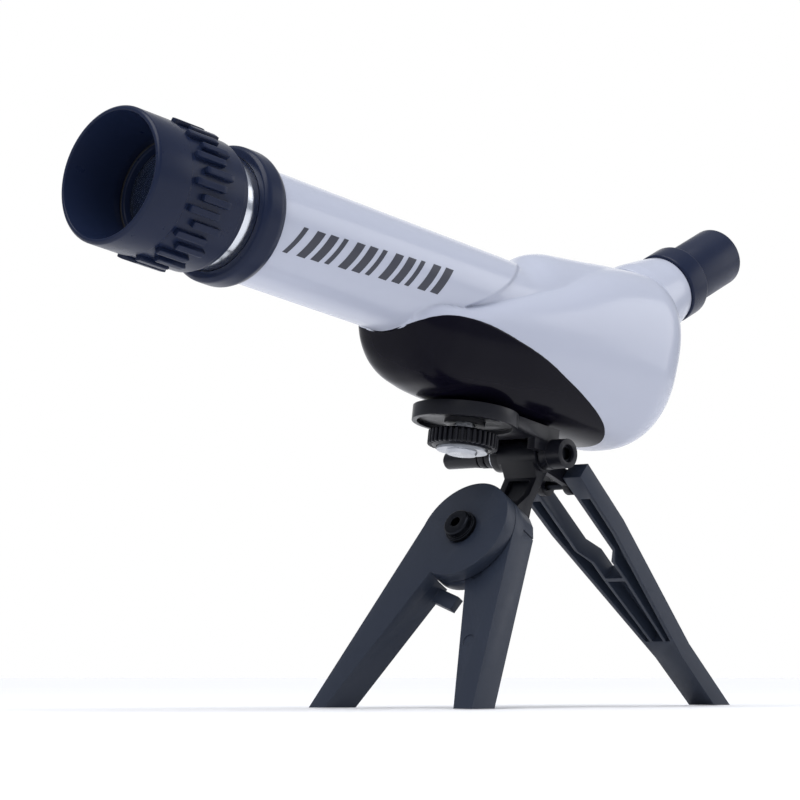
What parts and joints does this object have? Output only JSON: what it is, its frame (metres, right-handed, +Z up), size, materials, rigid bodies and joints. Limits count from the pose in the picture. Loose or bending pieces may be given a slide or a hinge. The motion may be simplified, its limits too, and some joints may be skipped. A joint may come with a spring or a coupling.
{
  "type": "telescope on tripod",
  "caption": "Small angled spotting telescope with a ribbed focus barrel, on a folding three-legged table tripod with tilt platform.",
  "frame": {"origin": "on the floor, below the centre of the whole object's box at rest", "axes": "+X from the objective end towards the eyepiece, level; +Z up; +Y towards the clamp handle's side"},
  "size_m": [0.2906, 0.063, 0.1698],
  "materials": {
    "barrel_black": "gloss",
    "inner_black": "matt",
    "glass": "polished",
    "silver_sleeve": "bright",
    "shell_white": "gloss",
    "cover_black": "gloss",
    "brass_insert": "plain",
    "cup_black": "satin",
    "tripod_black": "satin",
    "steel": "zinc plated",
    "black_steel": "blackened",
    "leg_slate": "satin"
  },
  "bodies": {
    "hub": {"hub": "tripod_black", "leg_screw": "black_steel", "leg_nut": "steel", "rear_pin": "black_steel"},
    "leg_left": {"leg_left": "leg_slate"},
    "leg_right": {"leg_right": "leg_slate"},
    "rear_leg": {"rear_leg": "leg_slate"},
    "platform": {"platform": "tripod_black", "clamp_nut": "black_steel"},
    "clamp": {"lock_lever": "tripod_black", "clamp_screw": "black_steel", "clamp_washer": "steel"},
    "thumbwheel": {"thumbwheel": "tripod_black", "camera_screw": "steel", "wheel_washer": "steel"},
    "scope": {"main_tube": "shell_white", "front_collar": "barrel_black", "focus_sleeve": "silver_sleeve", "stop_ring": "inner_black", "housing": "shell_white", "belly_cover": "cover_black", "socket_nut": "brass_insert", "prism_cage": "inner_black", "erecting_prism": "glass"},
    "objective": {"objective_cell": "inner_black", "objective_lens": "glass", "lens_retainer": "inner_black"},
    "barrel": {"focus_barrel": "barrel_black"},
    "eyepiece": {"eyepiece_ring": "barrel_black", "eyepiece_barrel": "inner_black", "eyecup": "cup_black", "field_lens": "glass", "eye_lens": "glass", "field_lens_clip": "inner_black", "eye_lens_clip": "inner_black"}
  },
  "joints": [
    {"name": "platform_tilt", "type": "hinge", "parent": "hub", "child": "platform", "pos_m": [0.03875, -0.00324, 0.08], "axis": [0, 1, 0], "range_deg": [-15, 30]},
    {"name": "scope_pan", "type": "hinge", "parent": "platform", "child": "scope", "pos_m": [0.00853, -0.00324, 0.08811], "axis": [0.1513, 0, 0.9885], "continuous": true},
    {"name": "thumbwheel_spin", "type": "hinge", "parent": "platform", "child": "thumbwheel", "pos_m": [0.00853, -0.00324, 0.08811], "axis": [0.1513, 0, 0.9885], "continuous": true},
    {"name": "clamp_turn", "type": "hinge", "parent": "platform", "child": "clamp", "pos_m": [0.03875, -0.00324, 0.08], "axis": [0, 1, 0], "range_deg": [-180, 180]},
    {"name": "leg_left_fold", "type": "hinge", "parent": "hub", "child": "leg_left", "pos_m": [0.00745, -0.00324, 0.0557], "axis": [-0.8572, 0, 0.515], "range_deg": [0, 20]},
    {"name": "leg_right_fold", "type": "hinge", "parent": "hub", "child": "leg_right", "pos_m": [0.00745, -0.00324, 0.0557], "axis": [-0.8572, 0, 0.515], "range_deg": [-15.5, 0]},
    {"name": "rear_leg_fold", "type": "hinge", "parent": "hub", "child": "rear_leg", "pos_m": [0.05446, -0.00324, 0.0713], "axis": [0, 1, 0], "range_deg": [0, 79]},
    {"name": "focus_slide", "type": "slide", "parent": "scope", "child": "objective", "axis": [-0.9885, 0, 0.1513], "range_m": [0, 0.005]},
    {"name": "focus_twist", "type": "hinge", "parent": "objective", "child": "barrel", "pos_m": [-0.14236, -0.00324, 0.14985], "axis": [-0.9885, 0, 0.1513], "range_deg": [0, 120]},
    {"name": "eyepiece_draw", "type": "slide", "parent": "scope", "child": "eyepiece", "axis": [0.9026, 0, 0.4305], "range_m": [0, 0.005]}
  ],
  "couplings": [
    {"joint": "focus_twist", "follows": "focus_slide", "rad_per_m": 418.87}
  ]
}
